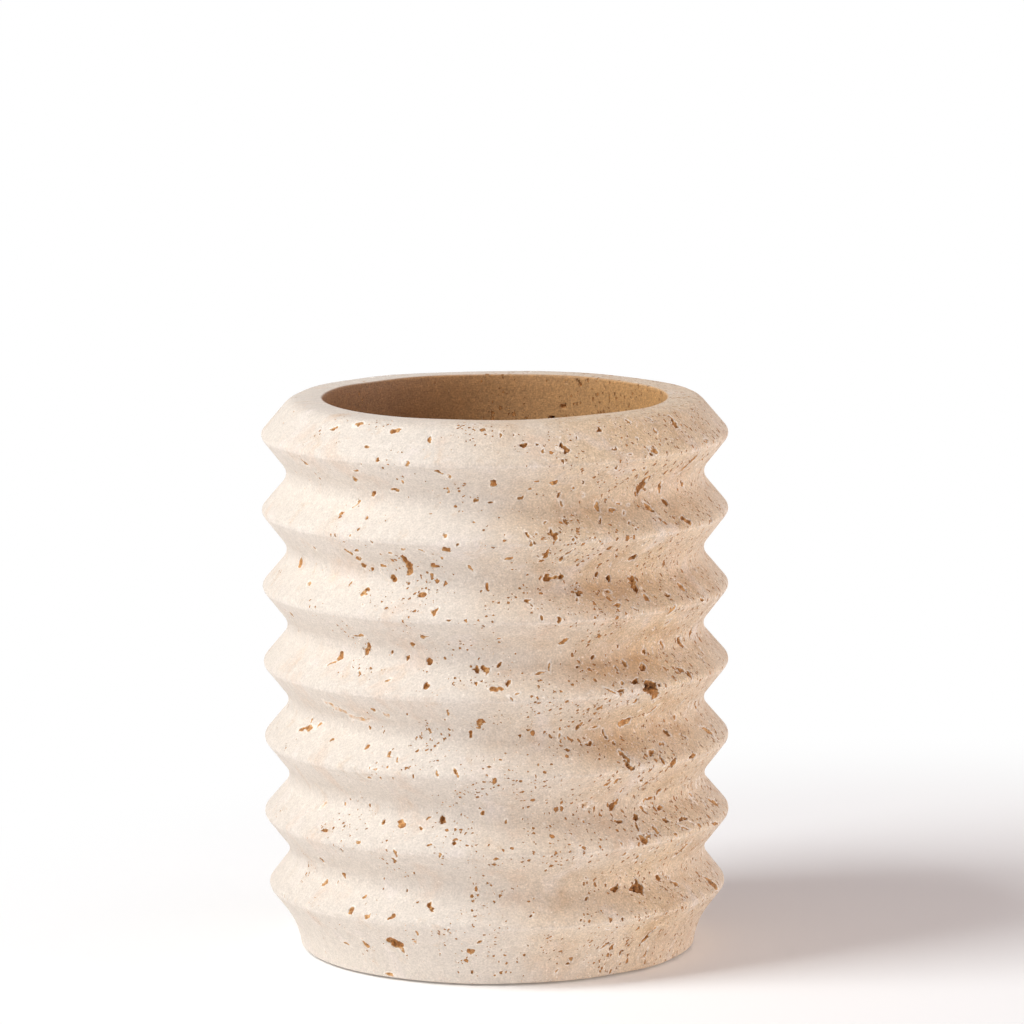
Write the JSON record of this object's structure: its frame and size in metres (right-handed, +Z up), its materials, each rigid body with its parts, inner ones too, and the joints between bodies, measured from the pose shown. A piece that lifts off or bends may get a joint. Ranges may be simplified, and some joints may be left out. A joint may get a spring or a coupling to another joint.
{
  "type": "pen holder",
  "caption": "Round travertine pen holder with pleated ridges outside, a plain deep well, and rubber pads in a recess under its base.",
  "frame": {"origin": "on the desk, where the cup's turning axis meets it", "axes": "+Z up along the turning axis, out of the well's mouth; -Y is the side that faces the viewer"},
  "size_m": [0.09, 0.09, 0.1075],
  "materials": {
    "travertine": "honed, unfilled, with open pits",
    "pad_rubber": "matt, punched from sheet"
  },
  "bodies": {
    "root": {"stone_cup": "travertine", "foot_pad_1": "pad_rubber", "foot_pad_2": "pad_rubber", "foot_pad_3": "pad_rubber", "foot_pad_4": "pad_rubber"}
  },
  "joints": []
}
